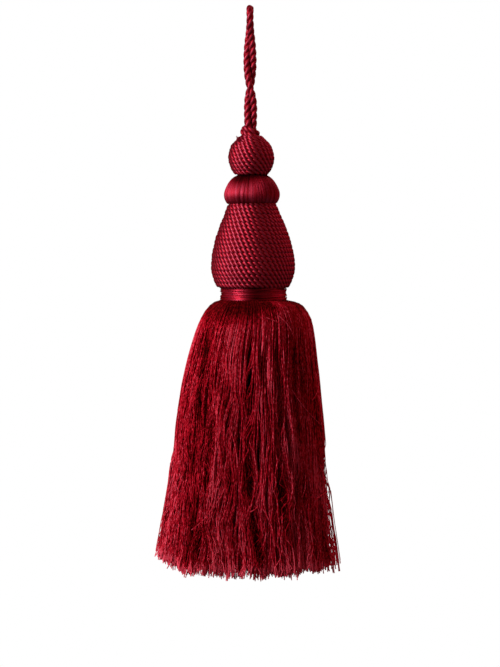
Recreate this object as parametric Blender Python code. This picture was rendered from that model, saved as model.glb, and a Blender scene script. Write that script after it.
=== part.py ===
"""Silk tassel on a hanging cord: a doubled twisted cord with a collar turn round its foot, a
cord-wound knob, a satin ring, a cord-wound pear, a satin binding and a skirt of cut silk locks.
It is modelled as it hangs.

Metres, +Z up. The origin is the point inside the loop's eye that a hook bears on, so heights are
written as a drop below it. The front of the tassel faces -Y.

    blender --background --python part.py
"""

import math
import random

import bmesh
import bpy
from mathutils import Matrix, Vector

MM = 0.001

# Cords, both laid Z-wise: diameter, number of plies, and how deep the groove between plies lies
LOOP_CORD = 3.1 * MM
LOOP_PLIES = 3
LOOP_PLY_GROOVE = 0.26 * LOOP_CORD / 2
LOOP_LAY = 11.0 * MM
WINDING_CORD = 2.2 * MM
WINDING_PLIES = 2
WINDING_PLY_GROOVE = 0.38 * WINDING_CORD / 2
# A ply shows a groove and two shoulders, which are drawn a little towards each other.
SHOULDER_DRAW = 0.12
# Depth of the groove between two turns of winding cord
TURN_GROOVE = 0.24 * WINDING_CORD

# The head's pieces are turned about one axis, which leans a little.
HEAD_SHIFT = -0.6 * MM
HEAD_LEAN = math.radians(0.96)
HEAD_SEGMENTS = 32
RING_STEP = 1.5 * MM
BINDING_STEP = 0.75 * MM

# Outlines of the turned pieces, in mm: (drop, outer radius)
KNOB_OUTLINE = (
    (61.6, 5.0), (62.6, 6.4), (64.3, 8.2), (66.6, 10.0), (69.6, 11.1),
    (72.6, 11.4), (75.6, 11.1), (78.6, 9.9), (81.2, 7.8),
)
RING_OUTLINE = (
    (81.5, 7.7), (82.6, 9.6), (84.6, 11.4), (86.6, 12.6), (88.6, 13.5),
    (90.6, 14.0), (92.6, 13.8), (94.2, 13.0), (94.9, 12.2),
)
PEAR_OUTLINE = (
    (95.2, 12.5), (100.8, 14.1), (106.5, 16.5), (112.5, 18.6), (118.5, 20.1),
    (124.5, 21.0), (130.0, 20.8), (134.4, 19.4), (137.1, 18.2),
)
BINDING_OUTLINE = (
    (137.4, 16.3), (138.6, 16.6), (140.0, 16.5), (141.4, 16.7), (142.6, 16.6), (143.3, 16.3),
)

# The loop: stations up the doubled cord, in mm and degrees.
# (drop, half the distance between the two legs, turn of the pair about its middle, middle's x)
LOOP_STATIONS = (
    (4.05, 5.6, -90, 0.0), (7.2, 4.7, -88, 0.0), (10.4, 3.0, -82, 0.0), (12.9, 2.1, -68, 0.0),
    (15.8, 1.75, -47, 0.0), (19.2, 1.7, -28, 0.0), (23.6, 1.7, -4, 0.0), (28.6, 1.7, 23, 0.0),
    (33.4, 1.7, 55, 0.0), (38.0, 1.7, 90, 0.1), (42.2, 1.7, 133, 0.2), (46.8, 1.7, 172, 0.3),
    (51.6, 1.7, 190, 0.3), (56.2, 1.7, 207, 0.3), (61.05, 1.7, 224, 0.3),
)
EYE_HEIGHT = 5.6 * MM
EYE_STEPS = 6
LOOP_STEP = 1.25 * MM

# The collar: one turn of winding cord round the legs, above the knob
COLLAR_DROP = 59.3 * MM
COLLAR_RADIUS = 4.75 * MM
COLLAR_TILT = math.radians(11)
COLLAR_STEPS = 36
COLLAR_TWISTS = 5

# The skirt: locks grow from the cells of a small head under the binding
SKIRT_CELLS = 96
HEAD_RINGS = (
    # (drop, radius) in mm, from the top's edge down and in
    (143.85, 16.0), (144.5, 18.2), (147.2, 15.4), (148.6, 10.5), (149.2, 5.6),
)
# Rows down a lock, in mm: (drop, radius of its middle, width as a share of its cell, thickness)
OUTER_LOCK = (
    (146.7, 22.3, 0.86, 2.5), (153.4, 26.9, 0.82, 2.4), (178.0, 32.1, 0.80, 2.2),
    (226.0, 38.8, 0.78, 2.2), (276.4, 44.8, 0.56, 1.4),
)
MIDDLE_LOCK = ((156.0, 20.8, 0.84, 2.5), (205.0, 31.0, 0.80, 2.5), (276.0, 39.4, 0.56, 1.5))
INNER_LOCK = ((166.0, 14.4, 1.45, 2.6), (216.0, 22.4, 1.35, 2.6), (275.0, 30.4, 1.00, 1.6))
# Sideways lean of the skirt's middle, in mm: (drop, x)
SKIRT_DRIFT = (
    (143.6, 1.9), (145.5, 3.1), (153.0, 3.0), (172.0, 1.3),
    (190.0, 0.3), (240.0, -0.9), (256.0, -1.4), (280.0, -1.6),
)
# Folds round the skirt: (number round, depth in mm, phase in radians)
SKIRT_FOLDS = ((5, 0.7, 0.4), (9, 0.8, 2.1), (14, 0.5, 4.0))
# Sideways waves round the skirt: (number round, share of a cell, phase in radians)
SKIRT_WAVES = ((3, 1.2, 1.0), (8, 0.38, 2.6), (13, 0.16, 5.1))
# Drops, in mm, where folds and waves begin and where they reach their full size
FOLDS_START = 150.0
FOLDS_FULL = 215.0
# The cut hem, in mm: how much lower it hangs on the right than in the middle, and its raggedness
CUT_SLOPE = 2.4
CUT_JITTER = 2.2
# How far a lock stands in or out of line, in mm, and how far it turns
LOCK_JITTER = 0.35
LOCK_TWIST = math.radians(9)
SEED = 11

# Finish: (base colour, roughness)
CORD_SILK = ((0.33, 0.008, 0.022), 0.38)
FLOSS_SILK = ((0.36, 0.006, 0.024), 0.30)
SKIRT_SILK = ((0.24, 0.004, 0.012), 0.48)


def clear_scene():
    for obj in list(bpy.data.objects):
        bpy.data.objects.remove(obj)


def silk(name, finish):
    colour, roughness = finish
    material = bpy.data.materials.new(name)
    material.use_nodes = True
    shader = material.node_tree.nodes["Principled BSDF"]
    shader.inputs["Base Color"].default_value = (*colour, 1.0)
    shader.inputs["Roughness"].default_value = roughness
    shader.inputs["Metallic"].default_value = 0.0
    return material


def placed(name, mesh, finish, parent=None):
    """The node's object, with its own material."""
    mesh.materials.append(silk(name + "_silk", finish))
    obj = bpy.data.objects.new(name, mesh)
    bpy.context.scene.collection.objects.link(obj)
    obj.parent = parent
    return obj


def smooth(points, steps=8):
    """A smooth line through the points: Catmull-Rom, with steps pieces to a span."""
    ends = [points[0] * 2 - points[1], *points, points[-1] * 2 - points[-2]]
    line = []
    for a, b, c, d in zip(ends, ends[1:], ends[2:], ends[3:]):
        for k in range(steps):
            t = k / steps
            square = a * 2 - b * 5 + c * 4 - d
            cube = b * 3 - a - c * 3 + d
            line.append((b * 2 + (c - a) * t + square * t**2 + cube * t**3) / 2)
    return [*line, points[-1]]


def evenly(line, step):
    """The line again, with points an even distance apart that is near step."""
    along = [0.0]
    for a, b in zip(line, line[1:]):
        along.append(along[-1] + (b - a).length)
    count = round(along[-1] / step)
    found, span = [], 0
    for k in range(count + 1):
        target = along[-1] * k / count
        while span < len(line) - 2 and along[span + 1] < target:
            span += 1
        share = (target - along[span]) / (along[span + 1] - along[span])
        found.append(line[span].lerp(line[span + 1], share))
    return found


def table_value(rows, at):
    """Straight-line reading of a table of (place, value)."""
    for (low, first), (high, last) in zip(rows, rows[1:]):
        if at <= high:
            return first + (last - first) * max(0.0, (at - low) / (high - low))
    return rows[-1][1]


# Turned pieces of the head


def outline_line(rows):
    """A table of (drop, radius) in mm as a smooth line of (radius, height) in metres."""
    return smooth([Vector((radius * MM, -drop * MM)) for drop, radius in rows])


def wound_profile(rows):
    """The outline of cord wound side by side: a crest for each turn and a groove between turns."""
    half_turn = WINDING_CORD / 2
    line = evenly(outline_line(rows), half_turn)
    if len(line) % 2 == 0:
        line = evenly(outline_line(rows), half_turn * (len(line) - 1) / len(line))
    profile = []
    for k, point in enumerate(line):
        before, after = line[max(k - 1, 0)], line[min(k + 1, len(line) - 1)]
        along = (after - before).normalized()
        at_end = k in (0, len(line) - 1)
        outward = Vector((1.0, 0.0)) if at_end else Vector((-along.y, along.x))
        depth = 0.0 if k % 2 else TURN_GROOVE
        profile.append(point - outward * depth)
    return profile


def turned(name, profile, head, finish):
    """A closed solid turned round the head's axis from a line of (radius, height), top to bottom."""
    line = [(0.0, profile[0].y), *profile, (0.0, profile[-1].y)]
    points = [(radius, 0.0, height) for radius, height in line]
    mesh = bpy.data.meshes.new(name)
    mesh.from_pydata(points, [(k, k + 1) for k in range(len(points) - 1)], [])
    obj = placed(name, mesh, finish, head)
    screw = obj.modifiers.new("Turn", "SCREW")
    screw.steps = screw.render_steps = HEAD_SEGMENTS
    screw.use_merge_vertices = True
    screw.merge_threshold = 0.01 * MM
    screw.use_smooth_shade = True


# Cords


def ply_section(cord, plies, groove):
    """The outline of a plied cord: a groove and two shoulders for each ply, as (radius, angle)."""
    ply = math.tau / plies
    section = []
    for k in range(plies):
        section.append((cord / 2 - groove, k * ply))
        section.append((cord / 2, (k + (1 + SHOULDER_DRAW) / 3) * ply))
        section.append((cord / 2, (k + (2 - SHOULDER_DRAW) / 3) * ply))
    return section


def cord_mesh(name, line, section, twist, closed):
    """A plied cord along a line. The section turns by twist radians in all, right-handed for a Z lay."""
    count = len(line)
    bm = bmesh.new()
    rings = []
    side = Vector((0.0, 0.0, 1.0)) if closed else Vector((0.0, 1.0, 0.0))
    for k, point in enumerate(line):
        before = line[(k - 1) % count] if closed else line[max(k - 1, 0)]
        after = line[(k + 1) % count] if closed else line[min(k + 1, count - 1)]
        along = (after - before).normalized()
        side = (side - along * side.dot(along)).normalized()
        across = along.cross(side)
        turn = twist * k / (count if closed else count - 1)
        rings.append([
            bm.verts.new(point + (side * math.cos(angle + turn) + across * math.sin(angle + turn)) * radius)
            for radius, angle in section
        ])
    size = len(section)
    for k in range(count if closed else count - 1):
        ring, following = rings[k], rings[(k + 1) % count]
        for j in range(size):
            bm.faces.new((ring[j], ring[(j + 1) % size], following[(j + 1) % size], following[j]))
    if not closed:
        bm.faces.new(reversed(rings[0]))
        bm.faces.new(rings[-1])
    bmesh.ops.recalc_face_normals(bm, faces=bm.faces)
    mesh = bpy.data.meshes.new(name)
    bm.to_mesh(mesh)
    bm.free()
    mesh.shade_smooth()
    return mesh


def loop_route():
    """The loop's centreline: up one leg, round the eye at the top and down the other leg."""
    legs = []
    for way in (1, -1):
        leg = []
        for drop, half_gap, turn, middle in LOOP_STATIONS:
            angle = math.radians(turn)
            reach = way * half_gap
            x = middle + reach * math.cos(angle)
            leg.append(Vector((x, reach * math.sin(angle), -drop)) * MM)
        legs.append(leg)
    centre = (legs[0][0] + legs[1][0]) / 2
    spread = (legs[0][0] - legs[1][0]) / 2
    eye = []
    for k in range(1, EYE_STEPS):
        angle = math.pi * k / EYE_STEPS
        eye.append(centre + spread * math.cos(angle) + Vector((0, 0, EYE_HEIGHT * math.sin(angle))))
    return [*reversed(legs[0]), *eye, *legs[1]]


def hanging_cord():
    line = evenly(smooth(loop_route()), LOOP_STEP)
    length = sum((b - a).length for a, b in zip(line, line[1:]))
    section = ply_section(LOOP_CORD, LOOP_PLIES, LOOP_PLY_GROOVE)
    mesh = cord_mesh("hanging_cord", line, section, math.tau * length / LOOP_LAY, closed=False)
    placed("hanging_cord", mesh, CORD_SILK)


def collar(head):
    """One tilted turn of winding cord round the two legs."""
    turn = [math.tau * k / COLLAR_STEPS for k in range(COLLAR_STEPS)]
    line = [Vector((math.cos(a), math.sin(a), 0.0)) * COLLAR_RADIUS for a in turn]
    section = ply_section(WINDING_CORD, WINDING_PLIES, WINDING_PLY_GROOVE)
    mesh = cord_mesh("collar_turn", line, section, math.tau * COLLAR_TWISTS, closed=True)
    obj = placed("collar_turn", mesh, CORD_SILK, head)
    obj.location.z = -COLLAR_DROP
    obj.rotation_euler.y = COLLAR_TILT


# Skirt


def skirt_middle(drop):
    return Vector((table_value(SKIRT_DRIFT, drop), 0.0, -drop))


def waves(parts, angle):
    return sum(size * math.sin(number * angle + phase) for number, size, phase in parts)


def crowding(parts, angle):
    """How close the waves bring two locks: 1 where they part them, less where they gather them."""
    slope = sum(size * number * math.cos(number * angle + phase) for number, size, phase in parts)
    return min(1.0, 1.0 + slope * math.tau / SKIRT_CELLS)


def lock_rows(rows, angle, rng):
    """One lock's rows with its folds, waves and cut end.

    Each is (drop, angle, radius, width share, thickness, turn about its own length).
    """
    cell = math.tau / SKIRT_CELLS
    push = rng.uniform(-LOCK_JITTER, LOCK_JITTER)
    twist = rng.uniform(-LOCK_TWIST, LOCK_TWIST)
    cut = CUT_SLOPE * math.cos(angle) + rng.uniform(-CUT_JITTER, CUT_JITTER)
    crowd = crowding(SKIRT_WAVES, angle)
    found = []
    for k, (drop, radius, share, thickness) in enumerate(rows):
        grown = min(1.0, max(0.0, (drop - FOLDS_START) / (FOLDS_FULL - FOLDS_START)))
        radius += grown * (waves(SKIRT_FOLDS, angle) + push)
        turned_by = angle + grown * cell * waves(SKIRT_WAVES, angle)
        share *= 1.0 - grown * (1.0 - crowd)
        if k == len(rows) - 1:
            drop += cut
        found.append((drop, turned_by, radius, share, thickness, twist * grown * crowd))
    return found


def lock_sections(rows, root_radius, root_drop):
    """The four corners of each row, square to the lock's direction: inner two, then outer two."""
    cell = math.tau / SKIRT_CELLS
    stations = [(root_radius, root_drop), *((row[2], row[0]) for row in rows)]
    sections = []
    for k, (drop, angle, radius, share, thickness, twist) in enumerate(rows, start=1):
        before, after = stations[k - 1], stations[min(k + 1, len(stations) - 1)]
        run, fall = after[0] - before[0], after[1] - before[1]
        slope = math.hypot(run, fall)
        outward = Vector((math.cos(angle), math.sin(angle), 0.0))
        sideways = Vector((-math.sin(angle), math.cos(angle), 0.0))
        through = outward * (fall / slope) + Vector((0.0, 0.0, run / slope))
        half_width = share * radius * cell / 2
        turn = Matrix.Rotation(twist, 3, "Z")
        middle = skirt_middle(drop) + outward * radius
        corners = []
        for out, side in ((-1, -1), (-1, 1), (1, 1), (1, -1)):
            flat = turn @ Vector((side * half_width, out * thickness / 2, 0.0))
            corners.append((middle + sideways * flat.x + through * flat.y) * MM)
        sections.append(corners)
    return sections


def grow(bm, face, sections):
    """Extrudes one cell of the head down through the sections, as a lock that stands apart."""
    for corners in sections:
        face = bmesh.ops.extrude_discrete_faces(bm, faces=[face])["faces"][0]
        for loop, corner in zip(face.loops, corners):
            loop.vert.co = corner


def skirt():
    rng = random.Random(SEED)
    bm = bmesh.new()
    cell = math.tau / SKIRT_CELLS
    spokes = [Vector((math.cos(cell * k), math.sin(cell * k), 0.0)) for k in range(SKIRT_CELLS)]
    rings = []
    for drop, radius in HEAD_RINGS:
        middle = skirt_middle(drop)
        rings.append([bm.verts.new((middle + spoke * radius) * MM) for spoke in spokes])
    top_face = bm.faces.new(rings[0])
    underside = bm.faces.new(reversed(rings[-1]))
    bands = []
    for upper, lower in zip(rings, rings[1:]):
        band = []
        for k in range(SKIRT_CELLS):
            following = (k + 1) % SKIRT_CELLS
            band.append(bm.faces.new((lower[k], lower[following], upper[following], upper[k])))
        bands.append(band)
    # Each band's locks: (rows, how many cells apart, shift round the skirt as a share of a cell)
    kinds = ((OUTER_LOCK, 1, 0.0), (MIDDLE_LOCK, 1, 0.5), (INNER_LOCK, 2, 0.0))
    for (rows, apart, shift), band, (root_drop, root_radius) in zip(kinds, bands[1:], HEAD_RINGS[1:]):
        for k in range(0, SKIRT_CELLS, apart):
            angle = cell * (k + 0.5 + shift)
            grow(bm, band[k], lock_sections(lock_rows(rows, angle, rng), root_radius, root_drop))
    bmesh.ops.triangulate(bm, faces=[top_face, underside])
    mesh = bpy.data.meshes.new("skirt")
    bm.to_mesh(mesh)
    bm.free()
    placed("skirt", mesh, SKIRT_SILK)


def main():
    clear_scene()
    head = bpy.data.objects.new("head_axis", None)
    bpy.context.scene.collection.objects.link(head)
    head.location.x = HEAD_SHIFT
    head.rotation_euler.y = -HEAD_LEAN
    hanging_cord()
    collar(head)
    turned("knob", wound_profile(KNOB_OUTLINE), head, CORD_SILK)
    turned("satin_ring", evenly(outline_line(RING_OUTLINE), RING_STEP), head, FLOSS_SILK)
    turned("pear", wound_profile(PEAR_OUTLINE), head, CORD_SILK)
    turned("binding", evenly(outline_line(BINDING_OUTLINE), BINDING_STEP), head, FLOSS_SILK)
    skirt()


main()
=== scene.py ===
import math
from dataclasses import dataclass

import bpy
import numpy as np
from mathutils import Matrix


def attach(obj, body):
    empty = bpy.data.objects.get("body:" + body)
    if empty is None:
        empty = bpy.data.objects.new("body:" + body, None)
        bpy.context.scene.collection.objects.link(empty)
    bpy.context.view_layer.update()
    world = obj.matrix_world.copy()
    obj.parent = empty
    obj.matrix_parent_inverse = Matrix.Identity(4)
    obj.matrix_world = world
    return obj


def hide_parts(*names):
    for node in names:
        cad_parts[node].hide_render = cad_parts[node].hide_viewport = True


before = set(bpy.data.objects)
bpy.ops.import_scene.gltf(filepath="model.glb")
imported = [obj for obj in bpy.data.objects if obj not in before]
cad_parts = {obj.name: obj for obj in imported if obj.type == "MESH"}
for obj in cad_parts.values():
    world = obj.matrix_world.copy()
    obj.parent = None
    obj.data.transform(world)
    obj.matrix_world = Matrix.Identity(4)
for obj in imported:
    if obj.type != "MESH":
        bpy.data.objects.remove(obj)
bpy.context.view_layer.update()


# Camera.
# It looks a little down at the hanging tassel from straight in front, from far enough away that
# the picture is nearly free of perspective. The picture is 333.5 mm high where the tassel hangs.
MM = 0.001
PICTURE_HEIGHT = 333.5 * MM
PICTURE_MIDDLE = -160.35 * MM
CAMERA_DISTANCE = 1.3
CAMERA_RAISED = math.radians(2.0)
SENSOR_HEIGHT = 24.0
NEAREST_SEEN = 0.05

camera_data = bpy.data.cameras.new("camera")
camera_data.sensor_fit = "VERTICAL"
camera_data.sensor_height = SENSOR_HEIGHT
camera_data.lens = SENSOR_HEIGHT * CAMERA_DISTANCE / PICTURE_HEIGHT
camera_data.clip_start = NEAREST_SEEN
camera = bpy.data.objects.new("camera", camera_data)
camera.location = (
    0.0,
    -CAMERA_DISTANCE * math.cos(CAMERA_RAISED),
    PICTURE_MIDDLE + CAMERA_DISTANCE * math.sin(CAMERA_RAISED),
)
camera.rotation_euler = (math.pi / 2 - CAMERA_RAISED, 0.0, 0.0)
bpy.context.scene.collection.objects.link(camera)
bpy.context.scene.camera = camera
bpy.context.scene.view_settings.view_transform = "Standard"


# Hanging cord.
# Three plies of spun silk laid up Z-wise into a cord 3.2 mm thick. It is doubled, its two legs wind
# loosely round each other, their ends go down into the knob, and it opens into an eye at the top.
LOOP_LAY = 11.0 * MM
LOOP_PLIES = 3
# A cord's section: its depth and half its width from its middle to a crest, how deep the grooves
# between its plies are as a share of that, and its squareness
LOOP_SECTION = (1.85 * MM, 1.85 * MM, 0.32, 2.0)
# The two legs press into each other by this much, and less the nearer they lie to the middle.
LOOP_PRESSED = 0.28 * MM
LOOP_PRESS_FADES = 1.0 * MM
LOOP_STEP = 0.50 * MM
PLY_SIDES = 6
# Painted shade: how fast a ply's tone falls from its crest, which takes the painted highlight, to the
# groove beside it
GROOVE_SHADE = 1.6
EYE_HEIGHT = 5.6 * MM
EYE_STEPS = 6
# Down the doubled cord, in mm and degrees:
# (drop, half the distance between the two legs, turn of the pair about its middle, middle's x)
LOOP_STATIONS = (
    (4.05, 5.6, -90, 0.0), (7.2, 4.7, -88, 0.0), (10.4, 3.0, -82, 0.0), (12.9, 2.1, -68, 0.0),
    (15.8, 1.75, -47, 0.0), (19.2, 1.7, -28, 0.0), (23.6, 1.7, -4, 0.0), (28.6, 1.7, 23, 0.0),
    (33.4, 1.7, 55, 0.0), (38.0, 1.7, 90, 0.1), (42.2, 1.7, 133, 0.2), (46.8, 1.7, 172, 0.3),
    (51.6, 1.7, 190, 0.3), (56.2, 1.7, 207, 0.3), (61.05, 1.7, 224, 0.3),
)


def smooth(points, steps=12):
    """A smooth line through the points: Catmull-Rom, with steps pieces to a span."""
    points = np.asarray(points, float)
    ends = np.vstack([2 * points[0] - points[1], points, 2 * points[-1] - points[-2]])
    t = (np.arange(steps) / steps)[:, None]
    line = []
    for a, b, c, d in zip(ends, ends[1:], ends[2:], ends[3:]):
        square = 2 * a - 5 * b + 4 * c - d
        cube = 3 * b - a - 3 * c + d
        line.append((2 * b + (c - a) * t + square * t**2 + cube * t**3) / 2)
    return np.vstack([*line, points[-1:]])


def lengths(line):
    """How far along the line each of its points lies."""
    return np.concatenate([[0.0], np.cumsum(np.linalg.norm(np.diff(line, axis=0), axis=1))])


def at_lengths(line, places):
    """The points of the line at these lengths along it."""
    along = lengths(line)
    return np.stack([np.interp(places, along, line[:, axis]) for axis in range(line.shape[1])], axis=1)


def about_axis(radius, angle, height):
    """Points this far from the upright axis, this far round it and this high."""
    x, y = radius * np.cos(angle), radius * np.sin(angle)
    return np.stack(np.broadcast_arrays(x, y, height), axis=-1)


def unit(vectors):
    """The same directions, each one long."""
    return vectors / np.linalg.norm(vectors, axis=-1, keepdims=True)


def carried_side(line, start):
    """A direction square to the line, carried along it without turning about it."""
    side = np.empty_like(line)
    last = np.asarray(start, float)
    for k, direction in enumerate(unit(np.gradient(line, axis=0))):
        last = last - direction * np.dot(last, direction)
        last /= np.linalg.norm(last)
        side[k] = last
    return side


@dataclass
class Shape:
    """Points and faces, and what the dye and gloss need of them.

    places is each face corner's place on its thread, as turns round it and metres along it. tone
    places each point on its material's colour ramp, from 0 to 1: its own uneven tone, and painted shade
    deep between threads and painted highlight where they would catch the light. thread is a number of
    each thread's own. normals lean the gloss, and are 0 for a plain surface.
    """

    points: np.ndarray
    faces: list
    places: np.ndarray
    tone: np.ndarray
    thread: np.ndarray
    normals: np.ndarray


def tubes(lines, sides, radii, around):
    """Round threads with closed ends along lines of points.

    lines is (threads, points, 3), radii fits (threads, points) or has a value for each side too,
    and around is a direction square to the threads that their sides are counted from. tone is 1
    on the side that faces around and 0 on the other, a painted shade on each thread's far side.
    """
    lines = np.asarray(lines, float)
    count, points = lines.shape[:2]
    along = unit(np.gradient(lines, axis=1))
    side = np.broadcast_to(around, lines.shape)
    side = unit(side - along * np.sum(side * along, axis=-1, keepdims=True))
    across = np.cross(along, side)
    angle = math.tau * np.arange(sides) / sides
    ring = side[:, :, None] * np.cos(angle)[:, None] + across[:, :, None] * np.sin(angle)[:, None]
    radii = np.asarray(radii, float)
    radii = radii if radii.ndim == 3 else np.broadcast_to(radii, (count, points))[:, :, None]
    verts = lines[:, :, None] + ring * radii[..., None]

    first = np.arange(count * points * sides).reshape(count, points, sides)
    following = np.roll(first, -1, axis=2)
    quads = np.stack([first[:, :-1], following[:, :-1], following[:, 1:], first[:, 1:]], axis=-1)
    caps = [first[:, 0, ::-1], first[:, -1]]
    far = np.linalg.norm(np.diff(lines, axis=1), axis=-1)
    far = np.concatenate([np.zeros((count, 1)), np.cumsum(far, axis=1)], axis=1)
    u = np.broadcast_to(np.arange(sides + 1) / sides, (count, points, sides + 1))
    v = np.broadcast_to(far[:, :, None], (count, points, sides + 1))
    place = np.stack([u, v], axis=-1)
    quad_places = np.stack(
        [place[:, :-1, :-1], place[:, :-1, 1:], place[:, 1:, 1:], place[:, 1:, :-1]], axis=-2
    )
    cap_places = [place[:, 0, sides:0:-1], place[:, -1, :sides]]
    places = np.concatenate([part.reshape(-1, 2) for part in (quad_places, *cap_places)])
    shape = (count, points, sides)
    tone = np.broadcast_to(0.5 + 0.5 * np.cos(angle), shape)
    thread = np.broadcast_to(np.arange(count)[:, None, None], shape)
    return Shape(verts, [quads.reshape(-1, 4), *caps], places, tone, thread, np.zeros_like(verts))


def piece(name, shapes, material):
    """One object of several shapes."""
    mesh = bpy.data.meshes.new(name)
    verts = np.concatenate([shape.points.reshape(-1, 3) for shape in shapes])
    counts = [shape.points.size // 3 for shape in shapes]
    starts = np.cumsum([0, *counts])
    polygons = [faces + start for shape, start in zip(shapes, starts) for faces in shape.faces]
    corners = np.concatenate([faces.ravel() for faces in polygons])
    sizes = np.concatenate([np.full(len(faces), faces.shape[1]) for faces in polygons])
    mesh.vertices.add(len(verts))
    mesh.vertices.foreach_set("co", verts.astype(np.float32).ravel())
    mesh.loops.add(len(corners))
    mesh.loops.foreach_set("vertex_index", corners.astype(np.int32))
    mesh.polygons.add(len(sizes))
    mesh.polygons.foreach_set("loop_start", (np.cumsum(sizes) - sizes).astype(np.int32))
    mesh.update(calc_edges=True)
    fibre = mesh.uv_layers.new(name="fibre")
    places = np.concatenate([shape.places for shape in shapes])
    fibre.data.foreach_set("uv", places.astype(np.float32).ravel())
    for attribute in ("tone", "thread"):
        layer = mesh.attributes.new(attribute, "FLOAT", "POINT")
        values = [
            np.broadcast_to(np.ravel(getattr(shape, attribute)), count)
            for shape, count in zip(shapes, counts)
        ]
        layer.data.foreach_set("value", np.concatenate(values).astype(np.float32))
    # Faces of four corners are shaded smooth: the sides of threads, and the ends of four-sided ones.
    mesh.polygons.foreach_set("use_smooth", sizes == 4)
    normals = np.concatenate([shape.normals.reshape(-1, 3) for shape in shapes])
    if normals.any():
        mesh.normals_split_custom_set_from_vertices(normals)
    mesh.materials.append(material)
    made = bpy.data.objects.new(name, mesh)
    bpy.context.scene.collection.objects.link(made)
    return made


def linear(code):
    """A colour written as an sRGB hex value, as linear red, green, blue and alpha."""
    parts = [int(code[k:k + 2], 16) / 255 for k in (1, 3, 5)]
    return (*(p / 12.92 if p <= 0.04045 else ((p + 0.055) / 1.055) ** 2.4 for p in parts), 1.0)


def add_node(tree, kind, settings, links):
    """A node of that kind. settings go to its properties or, by socket name, to its inputs, and
    links say which output feeds which input."""
    made = tree.nodes.new(kind)
    for key, value in settings.items():
        if hasattr(made, str(key)):
            setattr(made, key, value)
        else:
            made.inputs[key].default_value = value
    for key, (source, output) in links.items():
        tree.links.new(source.outputs[output], made.inputs[key])
    return made


# Silk's refractive index, and its clear reflection, which is half as strong over uneven fibres.
SILK_IOR = 1.54
CLEAR_REFLECTION = 0.25
# Seen at a glancing angle, dyed silk keeps its colour: the light has been through the fibre.
GLANCING_GLOSS = "#d04658"


def silk(name, shades, streaks, share, gloss):
    """Dyed silk. shades are (place, colour) from the deepest to the most lustrous. The place is
    share of the fibres' streaks, which run along the thread, and the rest is the thread's tone.

    streaks says how many lie round a thread and follow each other in a millimetre of it. A silk
    fibre is 0.015 mm thick, too fine to show, so streaks are drawn as coarse as bundles of them.
    """
    material = bpy.data.materials.new(name)
    material.use_nodes = True
    tree = material.node_tree
    tree.nodes.clear()
    streaks_round, streaks_along = streaks
    stretched = (streaks_round, streaks_along / MM, 1.0)
    uv = add_node(tree, "ShaderNodeUVMap", {"uv_map": "fibre"}, {})
    thread = add_node(tree, "ShaderNodeAttribute", {"attribute_name": "thread"}, {})
    stretch = add_node(tree, "ShaderNodeMapping", {"Scale": stretched}, {"Vector": (uv, "UV")})
    apart = add_node(tree, "ShaderNodeCombineXYZ", {}, {"Z": (thread, "Fac")})
    own = add_node(
        tree, "ShaderNodeVectorMath", {"operation": "ADD"}, {0: (stretch, "Vector"), 1: (apart, "Vector")}
    )
    fibres = add_node(
        tree, "ShaderNodeTexNoise", {"Scale": 1.0, "Detail": 1.0}, {"Vector": (own, "Vector")}
    )
    tone = add_node(tree, "ShaderNodeAttribute", {"attribute_name": "tone"}, {})
    place = add_node(
        tree, "ShaderNodeMix", {"data_type": "FLOAT", 0: share}, {2: (tone, "Fac"), 3: (fibres, "Fac")}
    )
    # The ramp's darkest colours are used for painted shade, and on the cords and cut threads its lightest
    # for painted highlight.
    colour = add_node(tree, "ShaderNodeValToRGB", {}, {"Fac": (place, "Result")})
    ramp = colour.color_ramp
    while len(ramp.elements) < len(shades):
        ramp.elements.new(0.5)
    for element, (at, code) in zip(ramp.elements, shades):
        element.position = at
        element.color = linear(code)
    around = add_node(tree, "ShaderNodeTangent", {"direction_type": "UV_MAP", "uv_map": "fibre"}, {})
    clear = {
        "IOR": SILK_IOR,
        "Specular IOR Level": CLEAR_REFLECTION,
        "Specular Tint": linear(GLANCING_GLOSS),
    }
    shader = add_node(
        tree,
        "ShaderNodeBsdfPrincipled",
        {**clear, **gloss},
        {"Base Color": (colour, "Color"), "Tangent": (around, "Tangent")},
    )
    add_node(tree, "ShaderNodeOutputMaterial", {}, {"Surface": (shader, "BSDF")})
    return material


# Spun silk, dyed crimson and laid loosely: a soft gloss of the dye's own colour across each ply, with
# a thin clear sheen over it, and a painted highlight on each crest that falls to painted shade, deep
# red, in the grooves.
LOOP_SHADES = ((0.08, "#5e0208"), (0.35, "#7a0818"), (0.65, "#84162a"), (0.92, "#8a2e42"))
LOOP_GLOSS = {"Roughness": 0.6, "Metallic": 0.9, "Coat Weight": 0.08, "Coat Roughness": 0.4}
loop_silk = silk("spun_silk_hanging_cord", LOOP_SHADES, (6.0, 0.3), 0.2, LOOP_GLOSS)


def loop_route():
    """The cord's own line: up one leg, round the eye at the top and down the other leg."""
    drop, half_gap, turn, middle = np.array(LOOP_STATIONS).T
    out = about_axis(half_gap, np.radians(turn), 0.0)
    centre = np.stack([middle, 0 * drop, -drop], axis=1)
    up, down = (centre + out)[::-1] * MM, (centre - out) * MM
    half_turn = (math.pi * np.arange(1, EYE_STEPS) / EYE_STEPS)[:, None]
    eye = centre[0] * MM + out[0] * MM * np.cos(half_turn)
    eye = eye + np.array([0.0, 0.0, EYE_HEIGHT]) * np.sin(half_turn)
    return smooth(np.vstack([up, eye, down]))


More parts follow.
